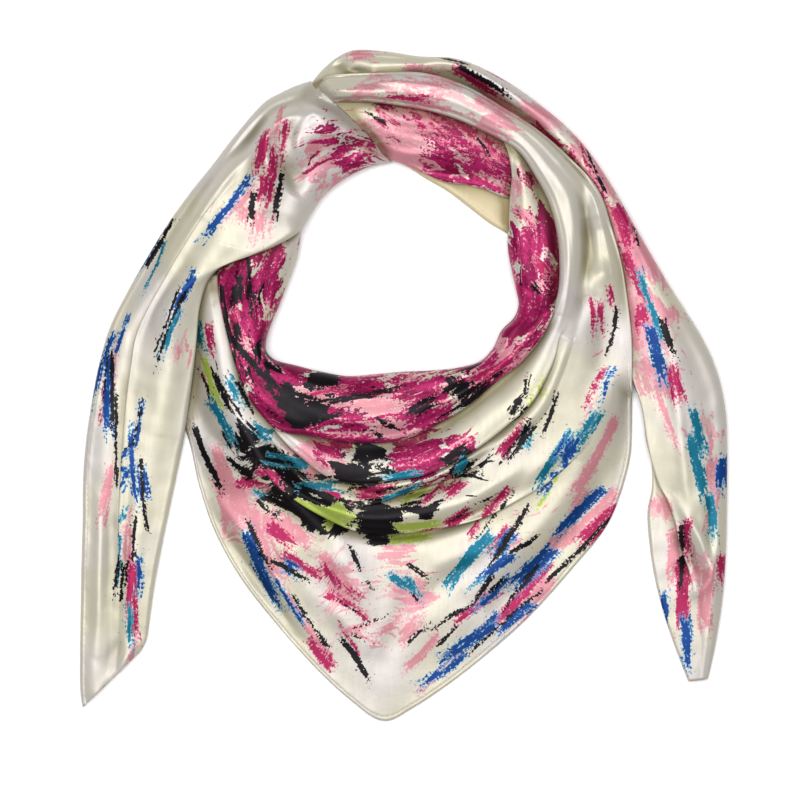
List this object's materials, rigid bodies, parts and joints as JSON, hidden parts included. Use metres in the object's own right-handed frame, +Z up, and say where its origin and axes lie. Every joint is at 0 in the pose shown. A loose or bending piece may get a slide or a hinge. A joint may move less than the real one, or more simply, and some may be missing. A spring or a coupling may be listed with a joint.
{
  "type": "silk square scarf",
  "caption": "Printed satin square scarf, folded to a triangle, wound once round the neck opening and laid flat, with a pointed front and both ends hanging.",
  "frame": {"origin": "middle of the laid scarf seen from above, on the surface it lies on", "axes": "+X towards the wearer's left, +Y towards the nape, +Z up from the surface"},
  "size_m": [0.3576, 0.3704, 0.0251],
  "materials": {
    "cream_silk": "satin, printed",
    "magenta_silk": "satin, printed",
    "pink_silk": "satin, printed",
    "wrong_side": "dull wrong side of the satin"
  },
  "bodies": {
    "root": {"left_winding": "cream_silk", "back_hem": "wrong_side", "nape_fold": "pink_silk", "shoulder_roll": "magenta_silk", "front": "cream_silk", "neck_roll": "magenta_silk", "right_winding": "cream_silk"}
  },
  "joints": []
}
